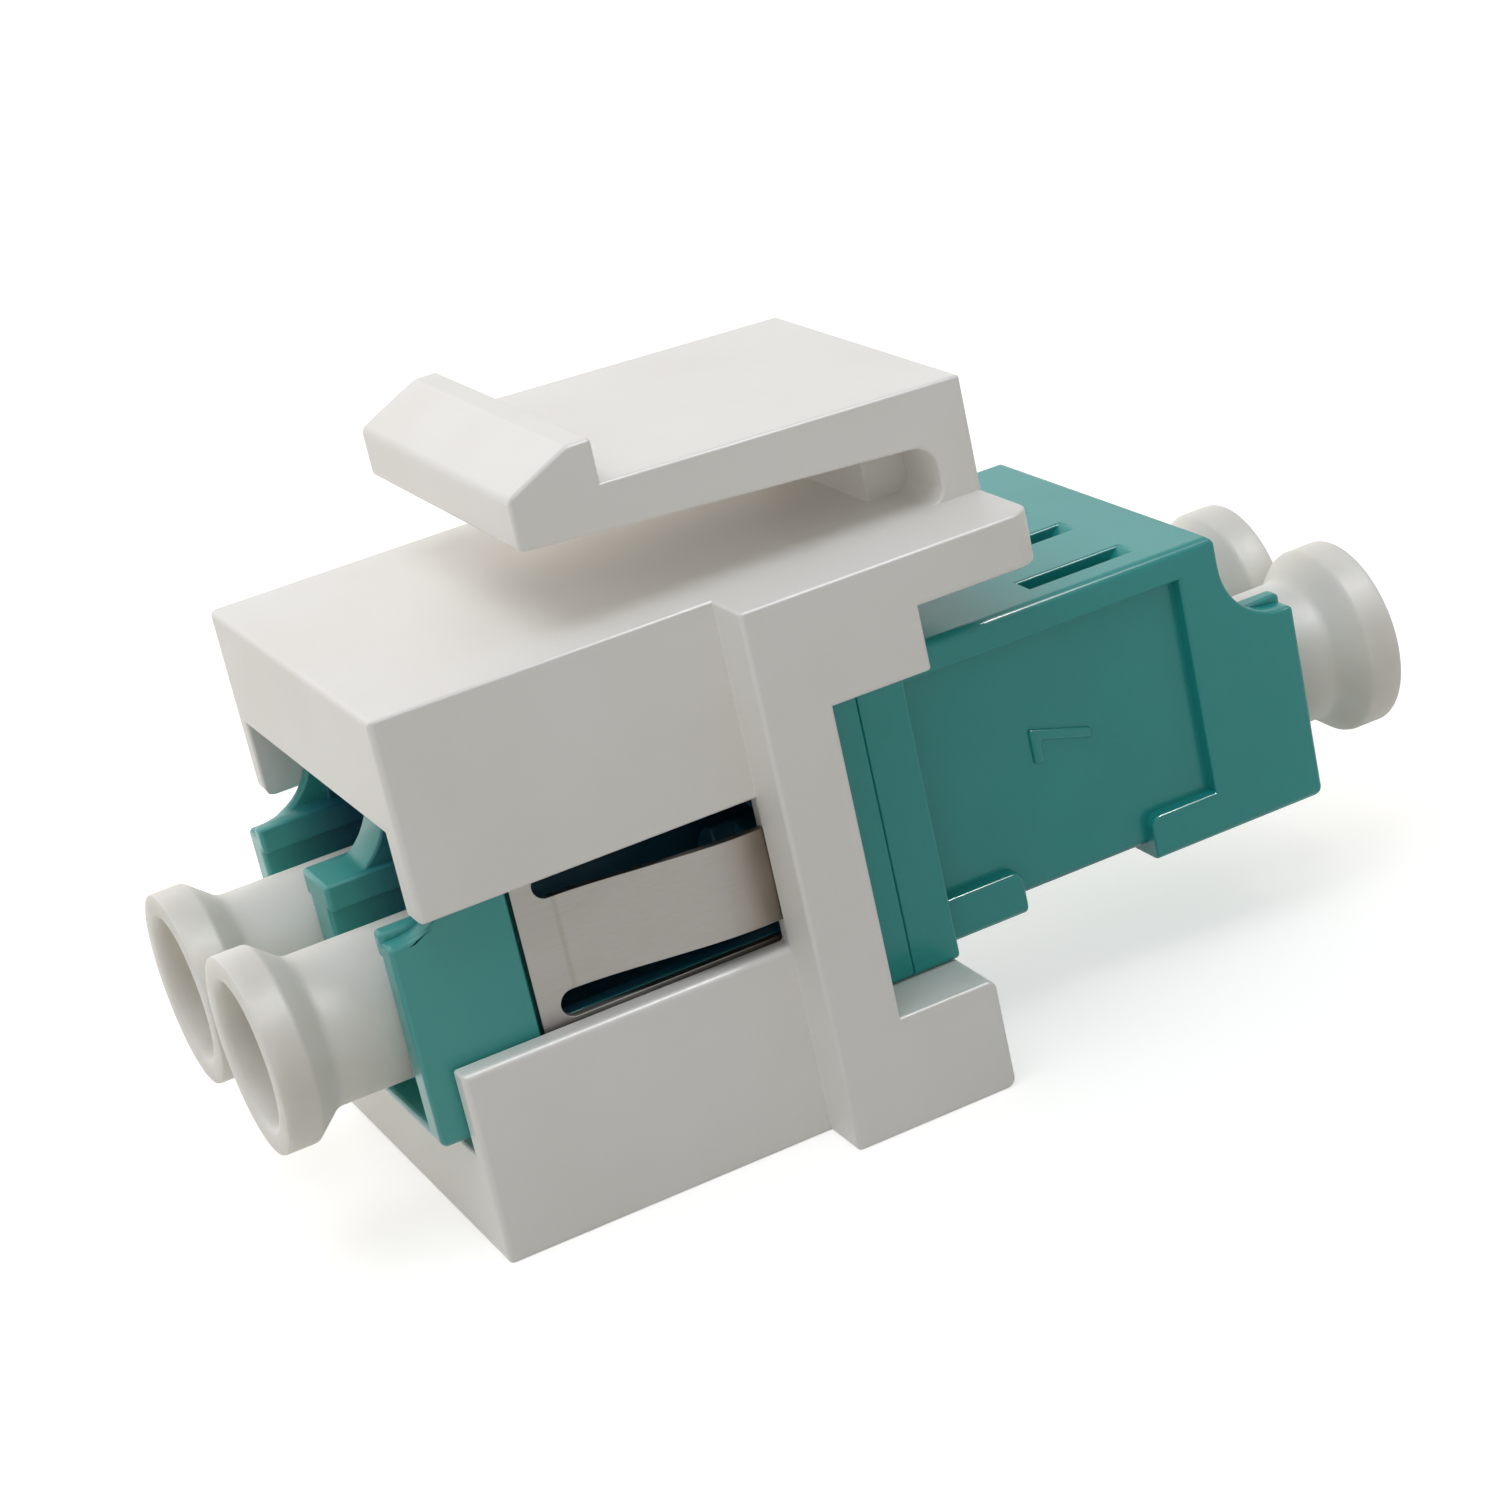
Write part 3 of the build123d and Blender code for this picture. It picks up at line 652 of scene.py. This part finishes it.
# Dust plugs: a lathed shape, grown ring by ring from its outer end; radius and depth behind the rim in mm
plug = {
    "rings": [(2.4, 0.0), (2.93, 0.0), (2.98, 0.02), (3.0, 0.07), (3.0, 0.2), (3.0, 0.96), (2.97, 1.06), (2.9, 1.15),
              (2.5, 1.63), (2.38, 1.77), (2.31, 1.89), (2.28, 2.05), (2.28, 2.4), (2.28, 7.6), (2.24, 7.73),
              (2.14, 7.8), (1.9, 7.8), (0.5, 7.8)],
    "bore": [(2.4, 0.0), (2.31, 0.02), (2.24, 0.08), (2.2, 0.18), (2.17, 0.4), (2.1, 1.0), (2.0, 2.0), (1.93, 3.2),
             (1.88, 4.6), (1.88, 6.5), (1.83, 6.75), (1.68, 6.9), (1.4, 6.9), (0.5, 6.9)],
    "around": 96,
    "merge": 0.005,
}


def latheFrom(name, rings, across, rim, height, way):
    bpy.ops.object.select_all(action="DESELECT")
    firstRadius, firstDepth = rings[0]
    start = (across, rim - way * firstDepth, height)
    bpy.ops.mesh.primitive_circle_add(vertices=plug["around"], radius=firstRadius * mm,
                                      location=Vector(start) * mm, rotation=(math.radians(90), 0, 0))
    shape = bpy.context.object
    shape.name = name
    bpy.ops.object.transform_apply(location=True, rotation=True, scale=True)
    with editing(shape):
        for (radius, depth), (nextRadius, nextDepth) in zip(rings, rings[1:]):
            bpy.ops.mesh.extrude_region_move(
                TRANSFORM_OT_translate={"value": (0, -way * (nextDepth - depth) * mm, 0)})
            grow = nextRadius / radius
            middle = Vector((across, rim - way * nextDepth, height)) * mm
            bpy.ops.transform.resize(value=(grow, 1, grow), center_override=middle)
        bpy.ops.mesh.edge_face_add()
    return shape


def makePlug(nodeName, across, rim, height, way):
    outside = latheFrom("plug_outside", plug["rings"], across, rim, height, way)
    inside = latheFrom("plug_inside", plug["bore"], across, rim, height, way)
    pickOnly(outside)
    inside.select_set(True)
    bpy.ops.object.join()
    outside.name = nodeName + "_soft"
    with editing(outside):
        bpy.ops.mesh.remove_doubles(threshold=plug["merge"] * mm)
        bpy.ops.mesh.normals_make_consistent(inside=False)
    standFor(outside, nodeName.replace("dust_plug", "plug"), "plug", nodeName)


for end, way in (("front", -1), ("rear", 1)):
    for sideName in ("left", "right"):
        nodeName = f"dust_plug_{end}_{sideName}"
        low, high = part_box(nodeName)
        middle = (low + high) / 2 / mm
        makePlug(nodeName, middle.x, (high if way > 0 else low).y / mm, middle.z, way)
print("plugs made")

# The floor shows white to the camera and keeps the object's soft shadow
ground = {"size": 3.0, "colour": "#d3d1cc", "roughness": 0.95, "lift": 0.58}


# One for what the camera sees straight, mirrored or through, and nothing for the light that the scene gets
def seenDirectly(material):
    path = addNode(material, "ShaderNodeLightPath").outputs
    straight = reckon(material, "MAXIMUM", path["Is Camera Ray"], path["Is Glossy Ray"])
    return reckon(material, "MAXIMUM", straight, path["Is Transmission Ray"])


def makePaper():
    material, shader = newMaterial("paper")
    shader.inputs["Base Color"].default_value = colour(ground["colour"])
    shader.inputs["Roughness"].default_value = ground["roughness"]
    shader.inputs["Emission Color"].default_value = colour("#ffffff")
    lift = reckon(material, "MULTIPLY", seenDirectly(material), ground["lift"])
    connect(material, lift, shader.inputs["Emission Strength"])
    return material


bpy.ops.object.select_all(action="DESELECT")
bpy.ops.mesh.primitive_plane_add(size=ground["size"], location=(0, 0, 0))
floor = bpy.context.object
floor.name = "floor"
floor.data.materials.append(makePaper())

# An even tent of light, a little stronger towards one side
world = {"colour": "#ffffff", "strength": 0.49, "lean": (-0.2, -0.05, 0.0), "seenStrength": 1.0}
studio = bpy.data.worlds.new("studio")
bpy.context.scene.world = studio
studio.use_nodes = True
sky = studio.node_tree.nodes["Background"]
sky.inputs["Color"].default_value = colour(world["colour"])
outward = addNode(studio, "ShaderNodeTexCoord")
leaning = addNode(studio, "ShaderNodeVectorMath", {0: outward.outputs["Generated"], 1: world["lean"]},
                  operation="DOT_PRODUCT")
tent = reckon(studio, "ADD", leaning.outputs["Value"], world["strength"])
skyStrength = addNode(studio, "ShaderNodeMapRange",
                      {"Value": seenDirectly(studio), "To Min": tent, "To Max": world["seenStrength"]})
connect(studio, skyStrength.outputs["Result"], sky.inputs["Strength"])

# A large soft lamp overhead, a small one for crisp lines on the edges, and a warm one from the far side
manyBounces = 1024
lampAim = Vector((0, 0, 0.01))
lamps = {
    "keyLamp": {"place": (0.08, -0.125, 0.47), "size": 0.34, "power": 0.75, "tint": "#f0f6ff"},
    "rimLamp": {"place": (0.15, 0.132, 0.345), "size": 0.05, "power": 2.2, "tint": "#ffffff", "diffuse": False,
                "bounces": 0},
    "farLamp": {"place": (-0.3, -0.02, 0.11), "size": 0.2, "power": 0.5, "tint": "#fff5ec", "glossy": False},
}
for name, lamp in lamps.items():
    light = bpy.data.lights.new(name, "AREA")
    light.shape = "DISK"
    light.size = lamp["size"]
    light.energy = lamp["power"]
    light.color = colour(lamp["tint"])[:3]
    light.cycles.max_bounces = lamp.get("bounces", manyBounces)
    body = bpy.data.objects.new(name, light)
    bpy.context.scene.collection.objects.link(body)
    body.location = lamp["place"]
    body.visible_diffuse = lamp.get("diffuse", True)
    body.visible_glossy = lamp.get("glossy", True)
    body.rotation_euler = (lampAim - Vector(lamp["place"])).to_track_quat("-Z", "Y").to_euler()
print("floor and lamps placed")

bpy.context.scene.view_settings.view_transform = "Standard"
